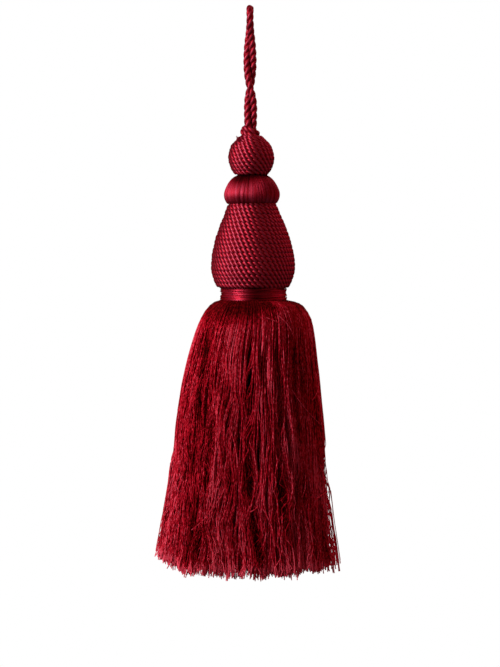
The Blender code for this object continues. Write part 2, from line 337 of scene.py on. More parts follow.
def laid_cord(line, outward, turn, plies, section):
    """A cord of plies laid round each other along a line, as a shape.

    outward is a direction square to the line that turn, how far the plies have gone round, is
    counted from. The squareness of its section is 2 for a round cord, and more for one pressed
    flat between its neighbours.
    """
    depth, width, groove, squareness = section
    along = unit(np.gradient(line, axis=0))
    outward = unit(outward - along * np.sum(outward * along, axis=1, keepdims=True))
    across = np.cross(along, outward)
    crest_way = outward * np.cos(turn)[:, None] + across * np.sin(turn)[:, None]
    sides = PLY_SIDES * plies
    around = math.tau * np.arange(sides) / sides
    angle = turn[:, None] + around
    pressed = np.abs(np.cos(angle) / depth) ** squareness + np.abs(np.sin(angle) / width) ** squareness
    crest = np.abs(np.cos(around * plies / 2))
    reach = pressed ** (-1 / squareness) * (1 - groove * (1 - crest))
    shape = tubes(line[None], sides, reach[None], crest_way[None])
    # Painted highlight along each ply's crest and painted shade in the grooves between plies
    shape.tone = crest**GROOVE_SHADE + 0 * shape.tone
    return shape


route = loop_route()
loop_length = lengths(route)[-1]
route = at_lengths(route, np.linspace(0, loop_length, round(loop_length / LOOP_STEP) + 1))
side = carried_side(route, (0.0, 1.0, 0.0))
from_middle = route * [1.0, 1.0, 0.0]
gap = np.linalg.norm(from_middle, axis=1, keepdims=True)
pressed = route - LOOP_PRESSED * from_middle / (gap + LOOP_PRESS_FADES)
turn = math.tau * lengths(route) / LOOP_LAY
hanging_cord = laid_cord(pressed, side, turn, LOOP_PLIES, LOOP_SECTION)
hanging = piece("hanging_loop_cord", [hanging_cord], loop_silk)
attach(hanging, "root")
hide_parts("hanging_cord")


# Collar turn.
# A three-ply cord like the loop's goes round the foot of its two legs, tilted, and hides where they
# go down into the knob. It winds on down under the knob's cord, and its cut end is a small brush.
COLLAR_PLIES = 3
COLLAR_LAY = 8.0 * MM
COLLAR_SECTION = (1.75 * MM, 1.75 * MM, 0.32, 2.0)
COLLAR_START = math.radians(90)
COLLAR_SPAN_STEPS = 30
WINDING_STEP = 0.36 * MM
# Round the legs and down, in turns, mm and degrees: (turn, drop, radius, tilt)
COLLAR_STATIONS = (
    (-0.4, 62.0, 1.5, 0), (0.0, 59.6, 2.6, 14), (0.3, 59.3, 2.9, 24), (0.9, 59.6, 3.0, 24),
    (1.2, 60.9, 3.6, 22), (1.6, 62.3, 4.4, 16), (2.0, 63.6, 5.2, 9), (2.4, 64.8, 5.8, 4),
    (2.8, 66.5, 5.8, 0),
)
# The brush: seed, root in mm, which way it points, threads, their length in mm, and their radius
CUT_END = (2, (-4.4, -4.8, -64.4), (-0.7, -0.3, 0.4), 30, 2.3, 0.17 * MM)
# In any brush: points and sides in a thread, the shortest thread as a share of the longest, how
# far apart the roots lie in mm, how much the threads fan out and curl, and which way they face
BRUSH_POINTS = 5
BRUSH_SIDES = 4
BRUSH_SHORTEST = 0.6
BRUSH_ROOTS_APART = 0.45
BRUSH_FAN = 0.3
BRUSH_CURL = 0.12
# A brush thread's tone is lighter on the side facing this way, with painted shade on its far side.
BRUSH_FACES = (0.0, -1.0, 0.02)
# The whole head stands on one axis that leans a little, as the solids' does.
HEAD_SHIFT = -0.6 * MM
HEAD_LEAN = math.radians(0.96)


def on_head(points):
    """Points given about the head's own axis, put where the leaning head has them."""
    x, y, z = np.moveaxis(points, -1, 0)
    c, s = math.cos(-HEAD_LEAN), math.sin(-HEAD_LEAN)
    return np.stack([c * x + s * z + HEAD_SHIFT, y, -s * x + c * z], axis=-1)


def brush(seed, root, way, threads, length, radius):
    """Loose ends of threads that spread from one place: root and length in mm, as a shape."""
    rng = np.random.default_rng(seed)
    share = rng.uniform(BRUSH_SHORTEST, 1.0, (threads, 1, 1)) * np.linspace(0, 1, BRUSH_POINTS)[:, None]
    start = np.array(root) + rng.normal(0, BRUSH_ROOTS_APART, (threads, 1, 3))
    spread = unit(np.array(way) + rng.normal(0, BRUSH_FAN, (threads, 1, 3)))
    curl = rng.normal(0, BRUSH_CURL, (threads, 1, 3)) * (length * share) ** 2
    return tubes((start + spread * (length * share) + curl) * MM, BRUSH_SIDES, radius, BRUSH_FACES)


places = smooth(COLLAR_STATIONS, COLLAR_SPAN_STEPS)
turn = math.tau * places[:, 0] + COLLAR_START
radius = places[:, 2] * MM
tilt = np.tan(np.radians(places[:, 3]))
height = -places[:, 1] * MM - radius * np.cos(turn) * tilt
collar_line = about_axis(radius, turn, height)
collar_line = at_lengths(collar_line, np.arange(0, lengths(collar_line)[-1], WINDING_STEP))
outward = collar_line * [1.0, 1.0, 0.0]
turn = math.tau * lengths(collar_line) / COLLAR_LAY
collar_cord = laid_cord(on_head(collar_line), outward, turn, COLLAR_PLIES, COLLAR_SECTION)
collar = piece("collar_turn_plies", [collar_cord, brush(*CUT_END)], loop_silk)
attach(collar, "root")
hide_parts("collar_turn")


# Knob.
# A small turned wooden ball wound from top to bottom with one 2.2 mm two-ply silk cord, each turn
# pressed against the last. An outline gives (drop, radius) in mm, from the top down.
KNOB_OUTLINE = (
    (61.2, 4.6), (62.6, 6.4), (64.3, 8.2), (66.6, 10.0), (69.6, 11.2),
    (72.6, 11.5), (75.6, 11.2), (78.6, 10.0), (81.4, 7.9),
)
KNOB_TURNS = 11
KNOB_SEED = 4
WINDING_CORD = 2.2 * MM
WINDING_PLIES = 2
WINDING_SECTION = (1.0 * MM, 1.38 * MM, 0.42, 3.6)
# The cord's middle lies this far inside the outline.
WINDING_INSET = 1.0 * MM
# A stroke is the piece of ply that shows each time one comes to the top.
WINDING_STROKE = 2.5 * MM
# Each turn has a whole number of strokes and this share of one, so that the strokes of turns that
# lie side by side run on into each other.
STROKE_SHIFT = 0.55
# A winding starts and ends at the back, and its strokes are lined up in front, a little left.
WINDING_START = math.radians(90)
LINED_UP = 158 / 360
# A hand-laid turn strays from its even place by this much, in waves of these numbers in a turn
# that start up to so many radians on.
HAND_STRAY = 0.09 * MM
STRAY_WAVES = (0.7, 1.7, 2.9, 4.3)
STRAY_START = 6.0
TURN_STEPS = 100
MOULD_ROWS = 24
MOULD_SEGMENTS = 64

# The same spun silk laid hard: a bright stroke of gloss where each ply comes to the top, with a painted
# highlight on the crest, painted shade near-black in the grooves round it, and a thinner clear sheen.
SPUN_SHADES = ((0.08, "#4a0106"), (0.3, "#80081a"), (0.58, "#8c1a2c"), (0.88, "#94384c"))
SPUN_GLOSS = {
    "Roughness": 0.57, "Metallic": 0.94, "Anisotropic": 0.7, "Coat Weight": 0.06, "Coat Roughness": 0.38,
}
spun_silk = silk("spun_silk_winding", SPUN_SHADES, (4.0, 0.4), 0.25, SPUN_GLOSS)


def outline_line(rows):
    """A table of (drop, radius) in mm as a smooth line of (radius, height) in metres."""
    drop, radius = np.array(rows).T
    return smooth(np.stack([radius * MM, -drop * MM], axis=1))


def evenly(line, points):
    """The line again, as so many points that lie evenly along it."""
    return at_lengths(line, np.linspace(0, lengths(line)[-1], points))


def facing_out(line):
    """The direction square to a line of (radius, height) that faces out from the axis."""
    slope = unit(np.gradient(line, axis=0))
    return np.stack([-slope[:, 1], slope[:, 0]], axis=1)


def turned(line, segments):
    """A closed turned surface on the head's axis: a line of (radius, height) from the top down."""
    angle = math.tau * np.arange(segments) / segments
    verts = on_head(about_axis(line[:, :1], angle, line[:, 1:]).reshape(-1, 3))
    first = np.arange(len(line) * segments).reshape(len(line), segments)
    following = np.roll(first, -1, axis=1)
    quads = np.stack([first[1:], following[1:], following[:-1], first[:-1]], axis=-1).reshape(-1, 4)
    caps = [first[:1], first[-1:, ::-1]]
    places = np.zeros((quads.size + 2 * segments, 2))
    # Its tone is 0, the deepest colour of its material: painted shade where it shows between threads.
    return Shape(verts, [quads, *caps], places, 0.0, 0.0, 0 * verts)


def wound(rows, turns, seed):
    """The plies of one cord wound down a turned shape, and the mould behind them, in dark painted shade.
    """
    rng = np.random.default_rng(seed)
    outline = outline_line(rows)
    profile = evenly(outline, TURN_STEPS * turns + 1)
    normal = facing_out(profile)
    down = unit(np.gradient(profile, axis=0))
    turn = np.linspace(0, turns, len(profile))
    stray = np.zeros((len(profile), 2))
    for wave in STRAY_WAVES:
        size = rng.normal(0, HAND_STRAY / 2, 2)
        stray += size * np.sin(math.tau * turn[:, None] * wave + rng.uniform(0, STRAY_START, 2))
    profile = profile - normal * (WINDING_INSET + stray[:, :1]) + down * stray[:, 1:]

    passes = np.arange(-1, turns + 1) + LINED_UP
    turn_radius = np.interp(passes[:-1] + 0.5, turn, profile[:, 0])
    strokes = np.round(math.tau * turn_radius / WINDING_STROKE - STROKE_SHIFT) + STROKE_SHIFT
    phase = np.interp(turn, passes, np.concatenate([[0.0], np.cumsum(strokes)]))

    angle = math.tau * turn + WINDING_START
    line = about_axis(profile[:, 0], angle, profile[:, 1])
    far = lengths(line)
    even = np.linspace(0, far[-1], round(far[-1] / WINDING_STEP) + 1)
    outward = about_axis(normal[:, 0], angle, normal[:, 1])
    line, outward, phase = (
        np.stack([np.interp(even, far, column) for column in np.atleast_2d(values.T)], axis=1)
        for values in (line, outward, phase)
    )
    cord = laid_cord(on_head(line), outward, math.pi * phase[:, 0], WINDING_PLIES, WINDING_SECTION)
    mould = evenly(outline, MOULD_ROWS) - [WINDING_CORD / 2, 0.0]
    return [cord, turned(mould, MOULD_SEGMENTS)]


knob = piece("knob_winding", wound(KNOB_OUTLINE, KNOB_TURNS, KNOB_SEED), spun_silk)
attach(knob, "root")
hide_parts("knob")


# Satin ring.
# A domed ring covered with untwisted silk floss, laid from the hole at the top over the rim and
# under, one bundle of fibres beside the next.
RING_OUTLINE = (
    (80.9, 6.6), (81.5, 7.7), (82.6, 9.6), (84.6, 11.4), (86.6, 12.6), (88.6, 13.5),
    (90.6, 14.0), (92.7, 13.8), (94.4, 13.1), (95.4, 12.4), (95.8, 11.5),
)
RING_THREADS = 460
RING_THREAD_RADIUS = 0.16 * MM
RING_POINTS = 15
RING_THREAD_SIDES = 4
RING_SEED = 3
# The threads' middles and the mould lie this far inside the outline.
FLOSS_INSET = 0.2 * MM
RING_MOULD_INSET = 0.3 * MM
RING_MOULD_SEGMENTS = 96
# The lustre of a bundle, and what waves round the ring and how strong, for how the bundles lie
# proud or sunk, how they slant in radians, and how their lustre varies
RING_LUSTRE = 0.55
RING_PROUD = (range(17, 90, 7), 0.02 * MM)
RING_SLANT = ((5, 9, 14, 23, 31), 0.035)
RING_STREAKS = (range(11, 80, 5), 0.055)
# How much single threads lie proud or sunk, in mm, and differ in lustre
THREAD_PROUD = 0.03
THREAD_LUSTRE = 0.18
# Painted shade at the top, where the fibres go down into the hole under the knob, and under the rim:
# (share of the way down, share of the tone left)
RING_PAINTED_SHADE_DOWN = ((0, 0.1), (0.15, 0.35), (0.42, 1), (0.85, 1), (1, 0.75))
# Painted shadow of the knob, in front left of the middle at the top: (degrees round, half the width in
# degrees, share of the tone lost), and (share of the way down, share of that which holds)
RING_KNOB_SHADOW = (-120, 26, 0.7)
RING_KNOB_SHADOW_DOWN = ((0.0, 1), (0.3, 1), (0.48, 0))
# Under the rim they bow over each other, and their gloss leans up: (share of the way down, lean)
RING_BOWED = ((0.55, 0.0), (0.85, 0.15))

# Silk floss: fibres laid side by side with no twist give one bright band of gloss across them.
FLOSS_SHADES = ((0.12, "#280106"), (0.4, "#840c20"), (0.85, "#8c2e44"))
FLOSS_GLOSS = {
    "Roughness": 0.56, "Metallic": 0.93, "Anisotropic": 0.6, "Coat Weight": 0.08, "Coat Roughness": 0.4,
}
silk_floss = silk("silk_floss", FLOSS_SHADES, (1.0, 0.12), 0.25, FLOSS_GLOSS)


def bundles(rng, angle, waves, size):
    """An uneven wave round the head, by which the fibres of each bundle differ from the next."""
    return sum(rng.normal(0, size) * np.sin(wave * angle + rng.uniform(0, math.tau)) for wave in waves)


def read_off(places, table):
    """What a table of (place, value) says at these places."""
    return np.interp(places, *np.array(table).T)


def painted_shade_share(angle, way, half, lost):
    """The share of tone lost to painted shade round a place way degrees round, half the width on each
    side.
    """
    return lost * np.exp(-(((angle - math.radians(way) % math.tau) / math.radians(half)) ** 2))


rng = np.random.default_rng(RING_SEED)
outline = evenly(outline_line(RING_OUTLINE), RING_POINTS)
normal = facing_out(outline)
laid = math.tau * np.arange(RING_THREADS)[:, None] / RING_THREADS
proud = bundles(rng, laid, *RING_PROUD)
proud = proud + rng.uniform(-THREAD_PROUD, THREAD_PROUD, (RING_THREADS, 1)) * MM
angle = laid + bundles(rng, laid, *RING_SLANT) * np.linspace(-0.5, 0.5, RING_POINTS)
radius = outline[:, 0] - normal[:, 0] * (FLOSS_INSET - proud)
height = outline[:, 1] - normal[:, 1] * (FLOSS_INSET - proud)
ring_lines = on_head(about_axis(radius, angle, height))
outward = about_axis(normal[:, 0], angle, normal[:, 1])
ring_floss = tubes(ring_lines, RING_THREAD_SIDES, RING_THREAD_RADIUS, outward)
down = np.linspace(0, 1, RING_POINTS)
streaks = RING_LUSTRE + bundles(rng, laid, *RING_STREAKS)
streaks = streaks + rng.normal(0, THREAD_LUSTRE, (RING_THREADS, 1))
# Painted shade at the hole and under the rim, and the knob's painted shadow in front
lustre = read_off(down, RING_PAINTED_SHADE_DOWN) * (1 - painted_shade_share(laid, *RING_KNOB_SHADOW) * read_off(down, RING_KNOB_SHADOW_DOWN))
ring_floss.tone = np.clip((streaks * lustre)[:, :, None], 0, 1) + 0 * ring_floss.tone
lean_up = read_off(down, RING_BOWED)[:, None, None] * np.array([0.0, 0.0, 1.0])
ring_floss.normals = unit(unit(ring_floss.points - ring_lines[:, :, None]) + lean_up)
ring_mould = turned(outline - normal * RING_MOULD_INSET, RING_MOULD_SEGMENTS)
satin_ring = piece("satin_ring_floss", [ring_floss, ring_mould], silk_floss)
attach(satin_ring, "root")
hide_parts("satin_ring")


# Pear.
# The head's main part, a turned wooden pear. It is wound like the knob with the same cord, and a
# few of the cord's fibres are broken and stand off it in front.
PEAR_OUTLINE = (
    (94.2, 11.5), (95.4, 11.9), (97.4, 12.8), (100.8, 14.1), (106.5, 16.5), (112.5, 18.6),
    (118.5, 20.1), (124.5, 21.0), (130.0, 20.8), (134.4, 19.4), (137.4, 17.9),
)
PEAR_TURNS = 20
PEAR_SEED = 9
# The broken fibres, written like the brush of the collar's cut end
BROKEN = (6, (4.6, -18.4, -113.4), (-0.2, -0.6, 0.5), 12, 2.2, 0.08 * MM)

pear_cord = wound(PEAR_OUTLINE, PEAR_TURNS, PEAR_SEED)
pear = piece("pear_winding", [*pear_cord, brush(*BROKEN)], spun_silk)
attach(pear, "root")
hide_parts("pear")


# Binding.
# Silk floss wound tightly round the neck in two narrow bands, with a slight waist between them.
# It ties the skirt's threads to the head.
BINDING_OUTLINE = (
    (136.6, 15.9), (137.6, 16.4), (138.8, 16.7), (140.2, 16.3), (141.6, 16.8), (143.0, 16.7),
    (144.2, 16.2),
)
# The neck inside it, in painted shade like the moulds
NECK_OUTLINE = ((136.0, 15.4), (138.0, 15.8), (141.0, 15.9), (145.0, 15.6))
BINDING_TURNS = 34
BINDING_THREAD_RADIUS = 0.17 * MM
BINDING_POINTS = 75
BINDING_SIDES = 5
# Each turn's two ends overlap by this angle each, tucked under by this much.
BINDING_OVERLAP = math.radians(5)
BINDING_TUCKED = 0.3 * MM
# A turn wanders up and down in waves of these numbers round it, and lies uneven by so many mm.
BINDING_WANDER = 0.16 * MM
BINDING_WAVES = (1, 2, 3)
BINDING_UNEVEN = 0.12
BINDING_LUSTRE = (0.3, 0.75)
BINDING_SEED = 5
# Painted shade in front, right of the middle, between the key and fill lights: (degrees round, half
# the width in degrees, share of the tone lost)
BINDING_CORE_SHADE = (-85, 13, 0.5)

# Silk floss pulled tight: a narrower and brighter band of gloss, and near-black beside it, in part painted
# shade.
TIGHT_SHADES = ((0.2, "#38020a"), (0.5, "#9c182e"), (0.85, "#a8405a"))
TIGHT_GLOSS = {
    "Roughness": 0.46, "Metallic": 0.96, "Anisotropic": 0.6, "Coat Weight": 0.06, "Coat Roughness": 0.36,
}
tight_floss = silk("silk_floss_pulled_tight", TIGHT_SHADES, (1.0, 0.12), 0.25, TIGHT_GLOSS)

rng = np.random.default_rng(BINDING_SEED)
outline = outline_line(BINDING_OUTLINE)
binding_width = lengths(outline)[-1]
angle = np.linspace(-BINDING_OVERLAP, math.tau + BINDING_OVERLAP, BINDING_POINTS)
wander = 0.0
for wave in BINDING_WAVES:
    size = rng.normal(0, BINDING_WANDER, (BINDING_TURNS, 1))
    wander = wander + size * np.sin(wave * angle + rng.uniform(0, math.tau, (BINDING_TURNS, 1)))
places = np.clip(np.linspace(0, binding_width, BINDING_TURNS)[:, None] + wander, 0, binding_width)
rest = at_lengths(outline, places.ravel()).reshape(*places.shape, 2)
sunk = FLOSS_INSET + rng.uniform(-BINDING_UNEVEN, BINDING_UNEVEN, (BINDING_TURNS, 1)) * MM
sunk = sunk + BINDING_TUCKED * ((angle < 0) | (angle > math.tau))
radius = rest[..., 0] - sunk
binding_lines = about_axis(radius, angle, rest[..., 1])
outward = about_axis(1.0, angle, 0.0)
binding_floss = tubes(on_head(binding_lines), BINDING_SIDES, BINDING_THREAD_RADIUS, outward)
streaks = rng.uniform(*BINDING_LUSTRE, (BINDING_TURNS, 1, 1))
# Painted shade in front, right of the middle
lustre = 1 - painted_shade_share(angle, *BINDING_CORE_SHADE)
binding_floss.tone = streaks * lustre[:, None] + 0 * binding_floss.tone
neck_drop, neck_radius = np.array(NECK_OUTLINE).T
neck = turned(np.stack([neck_radius, -neck_drop], axis=1) * MM, MOULD_SEGMENTS)
binding = piece("binding_floss", [binding_floss, neck], tight_floss)
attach(binding, "root")
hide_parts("binding")


# Skirt.
# Thousands of cut silk threads bound under the neck. They roll over a shoulder and hang in
# locks, each thread crimped, down to a ragged cut hem. Lengths in this section are in mm.
SKIRT_OUTLINE = (
    (142.6, 14.8), (143.6, 15.9), (144.0, 17.4), (144.5, 19.8), (145.6, 22.3), (147.6, 24.4),
    (150.6, 26.3), (154.0, 27.9), (158.0, 29.1), (166.0, 30.8), (174.0, 32.2), (186.0, 34.2),
    (202.0, 36.3), (218.0, 38.1), (234.0, 40.2), (250.0, 42.5), (262.0, 44.4), (270.0, 45.7),
    (284.0, 47.2),
)
# Sideways lean of the skirt's middle: (drop, x)
SKIRT_DRIFT = (
    (142.6, 1.2), (143.6, 1.6), (145.5, 3.1), (153.0, 3.0), (172.0, 1.3),
    (190.0, 0.3), (240.0, -0.9), (256.0, -1.4), (280.0, -1.6),
)
# Layers from the outside in: (name, threads, points each, nearest and furthest depth as a share,
# how much shorter, how freely each thread wanders)
SKIRT_LAYERS = (
    ("loose", 230, 40, 0.0, 0.09, 0.0, 3.0),
    ("outer", 2400, 32, 0.0, 0.07, 0.0, 1.0),
    ("middle", 1600, 16, 0.05, 0.2, 0.8, 1.0),
    ("inner", 1000, 9, 0.2, 0.97, 3.0, 0.6),
)
QUARTERS = ("back_left", "front_left", "front_right", "back_right")
SKIRT_SEED = 7
THREAD_RADIUS = 0.22
THREAD_SIDES = 3
# A cut end spreads to this much of its thread, from this share of the way down.
FRAYED = 1.35
FRAYS_FROM = 0.95
# More threads lie near the outside of a layer, and more of their points near their root.
OUTER_CROWDING = 1.2
ROOT_CROWDING = 1.15
# The innermost threads start this much lower than the outermost.
ROOT_DEPTH = 6.0

# The hem's cut all round: (degrees, drop)
CUT_ROUND = (
    (-180, 271.0), (-165, 271.8), (-150, 272.8), (-135, 274.2), (-115, 276.4), (-90, 276.4),
    (-60, 276.8), (-30, 275.4), (0, 274.6), (90, 274.4), (180, 271.0),
)
# How unevenly single threads, strands and locks are cut, and how much too long at most
CUT_RAGGED = 1.0
STRAND_CUT = 0.9
LOCK_CUT = 0.6
CUT_LONGEST = 1.6

# Threads cling together in strands, and strands hang in locks. Both are spaced unevenly, by these
# shares of their spacing.
LOCKS = 46
LOCKS_UNEVEN = 0.38
STRANDS = 330
STRANDS_UNEVEN = 0.4
# How strongly a lock and a strand draw their threads to their middles, and the most a lock does
LOCK_HOLD = 0.06
LOCK_HOLD_MOST = 0.25
STRAND_HOLD = 0.42
# How far a lock's middle stands out from its edges, and the share of that which lies outside
LOCK_ROUND = 0.8
LOCK_ROUND_OUTSIDE = 0.4
# What wanders down the skirt, each as a size and the lengths of its waves. A hold and a tone are
# shares, and a sway, sideways, and a push, outward, are in mm.
LOCK_HOLD_WANDERS = (0.06, (60.0, 34.0))
LOCK_SWAY = (0.7, (95.0, 50.0))
LOCK_PUSH = (0.9, (110.0, 60.0))
LOCK_TONE = (0.14, (150.0, 80.0))
STRAND_TONE = (0.1, (60.0, 34.0))
STRAND_SWAY = (0.36, (70.0, 40.0, 24.0))
STRAND_PUSH = (0.4, (55.0, 30.0))
STRAND_HOLD_WANDERS = (0.2, (40.0, 25.0))
THREAD_SWAY = (0.2, (40.0, 20.0, 11.0))
THREAD_PUSH = (0.22, (40.0, 18.0, 11.0))
WAVE_UNEVEN = (0.75, 1.3)
# A thread strays sideways by this much at its cut end, and a strand lets it go by this share.
THREAD_STRAY = 0.8
LETS_GO = 0.3
# Where threads come free, gather, sway and tuck in: (drop, how far until in full)
FREE_FROM = (147.0, 30.0)
GATHER_FROM = (146.0, 16.0)
SWAY_FROM = (147.0, 55.0)
TUCK_FROM = (212.0, 52.0)
LEAST_SWAY = 0.15
# How far a thread may be pushed in and out
PUSHED_IN = 4.0
PUSHED_OUT = 0.5
# Below its middle the skirt's body draws in by these shares, most on the right but for the threads
# that lie on its very surface there.
BODY_TUCK = 0.09
BODY_TUCK_RIGHT = 0.06
SURFACE_KEPT_RIGHT = 0.35
SURFACE_DEPTH = 0.03
# The loose threads stand off the body by this much more at their ends, lie further out on the
# right, and are duller than the others at their roots and brighter at their ends.
LOOSE_STANDS_OFF = 1.2
LOOSE_OUT_RIGHT = 0.3
LOOSE_TONE = 0.05
LOOSE_END_TONE = 0.15

# Where the hanging locks part in front: (drop and degrees round the skirt where a parting starts,
# the same where it ends, width)
SKIRT_PARTINGS = (
    (151, -95, 202, -90.5, 2.0), (198, -89.5, 223, -89, 2.8), (216, -89.5, 244, -90, 3.4),
    (240, -87, 274, -80.5, 3.0), (262, -94, 280, -94, 1.8), (196, -119.5, 224, -120, 3.0),
    (214, -122, 238, -123, 3.2), (158, -145, 182, -138, 2.0), (184, -138, 203, -137, 2.2),
    (238, -134, 251, -135, 2.4), (248, -126, 276, -121, 2.6), (221, -103, 238, -104, 2.0),
    (158, -69.5, 178, -68, 1.0), (189, -65, 214, -64, 1.2), (160, -48.5, 191, -51.5, 1.8),
    (184, -51.5, 216, -48, 2.0), (226, -64, 267, -62, 2.8), (190, -20, 204, -20, 2.2),
)
# Broad locks that hang further out or in, with painted light on those out and painted shade on those
# in: written the same way, and then how far out
STANDING_LOCKS = (
    (146, -152, 178, -146, 9.0, -0.7), (156, -140, 196, -137, 8.0, -0.8),
    (190, -136, 236, -135, 13.0, -1.0), (230, -131, 276, -130, 9.0, -1.2),
    (148, -118, 190, -108, 18.0, 0.25), (150, -104, 192, -103, 7.0, 0.4),
    (156, -86, 204, -83, 6.0, 0.4), (172, -74, 200, -72, 6.0, 0.3),
    (186, -118, 240, -113, 5.0, 0.6), (232, -113, 282, -110, 7.0, 0.6),
    (244, -95, 270, -94, 4.0, 0.4), (228, -76, 282, -74, 8.0, 0.5),
    (206, -56, 284, -50, 15.0, 0.8), (134, -50, 165, -42, 16.0, 0.4),
)
# Partings and locks run out over this length at each end.
RUN_OUT = 9.0
# A parting opens to this depth as a share, and its edges are this soft and spread this many widths.
PARTING_DEPTH = 0.3
PARTING_EDGE = 0.4
PARTING_SPREAD = 1.5
# A parting gets painted shade, most below the surface, and a standing lock painted light, for each
# mm and at most.
PARTING_SHADE = 0.4
PARTING_SHADE_BELOW = 0.3
PARTING_BELOW = 0.05
LOCK_LIGHT = 0.65
LOCK_LIGHT_MOST = 0.8

# How far down the roots get painted shade all round: (degrees, drop)
ROOT_SHADE = (
    (-180, 147.0), (-165, 147.5), (-140, 148.0), (-115, 148.5), (-90, 149.0), (-84, 145.0),
    (-78, 144.5), (-71, 146.0), (-60, 140.0), (-44, 140.5), (-30, 141.5), (0, 144.0), (180, 147.0),
)
ROOT_SHADE_FADES = 8.0
ROOT_PAINTED_SHADE = 0.55
# Painted light on the thin cut ends, where light would come through them.
TIP_LENGTH = 5.0
TIP_PAINTED_LIGHT = 1.25
THREAD_TONE = (0.35, 0.75)
# Each thread's fibres are read at a place of its own, up to this far off.
FIBRES_APART = 900
# A thread among others is lit as part of the lock it lies in: its gloss leans this much outward.
LEAN_OUT = 0.35

# Cut silk thread: the fibres' streaks paint a highlight where each crimp would catch the light for a
# few millimetres, and painted shade between.
CUT_SHADES = (
    (0.22, "#3a0204"), (0.34, "#640409"), (0.46, "#930a1c"), (0.57, "#b01e32"), (0.68, "#ca4c60"),
)
CUT_GLOSS = {"Roughness": 0.7, "Metallic": 0.75}
cut_silk = silk("cut_silk_thread", CUT_SHADES, (0.0, 0.6), 0.75, CUT_GLOSS)


def wandering(rng, shape, drop, size, wavelengths):
    """Smooth wandering along the drop, with waves of about these lengths, one line of it for each
    of shape."""
    total = 0.0
    for wavelength in wavelengths:
        own = wavelength * rng.uniform(*WAVE_UNEVEN, (shape, 1))
        phase = rng.uniform(0, math.tau, (shape, 1))
        total = total + rng.normal(0, size, (shape, 1)) * np.sin(math.tau * drop / own + phase)
    return total


def nearest(angles, marks):
    """Which of the marks is nearest to each angle, and how far it is round to it."""
    apart = np.angle(np.exp(1j * (marks - angles)))
    which = np.abs(apart).argmin(axis=1)
    return which, np.take_along_axis(apart, which[:, None], axis=1)


def spaced(rng, count, uneven):
    """So many angles all round, unevenly spaced."""
    return math.tau * (np.arange(count) + rng.uniform(-uneven, uneven, count)) / count


def sets_in(drop, start, over):
    """0 down to start, 1 from over below it on, and even between."""
    return np.clip((drop - start) / over, 0, 1)


# The drops that the wanderings of locks and strands are worked out at
SHELF = np.linspace(140.0, 285.0, 60)
pattern = np.random.default_rng(SKIRT_SEED)
lock_angles = spaced(pattern, LOCKS, LOCKS_UNEVEN)
strand_angles = spaced(pattern, STRANDS, STRANDS_UNEVEN)
lock_hold = LOCK_HOLD + wandering(pattern, LOCKS, SHELF, *LOCK_HOLD_WANDERS)
lock_hold = np.clip(lock_hold, 0.0, LOCK_HOLD_MOST)
lock_sway = wandering(pattern, LOCKS, SHELF, *LOCK_SWAY)
lock_push = wandering(pattern, LOCKS, SHELF, *LOCK_PUSH)
lock_tone = wandering(pattern, LOCKS, SHELF, *LOCK_TONE)
lock_cut = pattern.normal(0, LOCK_CUT, LOCKS)
strand_cut = pattern.normal(0, STRAND_CUT, STRANDS)
strand_tone = wandering(pattern, STRANDS, SHELF, *STRAND_TONE)
strand_sway = wandering(pattern, STRANDS, SHELF, *STRAND_SWAY)
strand_push = wandering(pattern, STRANDS, SHELF, *STRAND_PUSH)
strand_hold = STRAND_HOLD + wandering(pattern, STRANDS, SHELF, *STRAND_HOLD_WANDERS)

outline_drop, outline_radius = np.array(SKIRT_OUTLINE).T
outline_far = lengths(np.array(SKIRT_OUTLINE))


def along_drop(table, which, drop):
    """Each thread's row of a table of wanderings, read at the thread's drops."""
    step = (drop - SHELF[0]) / (SHELF[1] - SHELF[0])
    low = np.clip(step.astype(int), 0, len(SHELF) - 2)
    part = step - low
    rows = table[which]
    return np.take_along_axis(rows, low, 1) * (1 - part) + np.take_along_axis(rows, low + 1, 1) * part


def hem_cut(rng, start, lock, strand, shorter):
    """The drop where each thread is cut."""
    cut = read_off(np.degrees(start), CUT_ROUND) - shorter
    cut = cut + np.minimum(rng.normal(0, CUT_RAGGED, start.shape), CUT_LONGEST)
    return cut + lock_cut[lock][:, None] + strand_cut[strand][:, None]


def near_mark(drop, angle, radius, above, degrees_above, below, degrees_below, width):
    """How far round points lie from the middle of a parting or lock, how far inside its ends, and
    how close to it all in all."""
    degrees = np.interp(drop, (above, below), (degrees_above, degrees_below))
    off = np.angle(np.exp(1j * (angle - np.radians(degrees)))) * radius
    inside = sets_in(drop, above, RUN_OUT) * sets_in(below - drop, 0, RUN_OUT)
    return off, inside, inside * np.exp(-((off / (0.5 * width)) ** 2))


def parted(drop, angle, radius, depth, push, tone):
    """The threads' angle, push and tone: painted shade in the partings, painted light on standing locks.
    """
    for parting in SKIRT_PARTINGS:
        width = parting[-1]
        off, inside, close = near_mark(drop, angle, radius, *parting)
        opened = inside * (1 - sets_in(depth, 0, PARTING_DEPTH)) * width / 2
        edge = np.tanh(off / PARTING_EDGE) * np.exp(-((off / (PARTING_SPREAD * width)) ** 2))
        angle = angle + opened * edge / radius
        push = push - close
        tone = tone - close * (PARTING_SHADE + PARTING_SHADE_BELOW * sets_in(depth, 0, PARTING_BELOW))
    for *lock, out in STANDING_LOCKS:
        close = near_mark(drop, angle, radius, *lock)[2]
        push = push + out * close
        tone = tone + min(LOCK_LIGHT * out, LOCK_LIGHT_MOST) * close
    return angle, push, tone


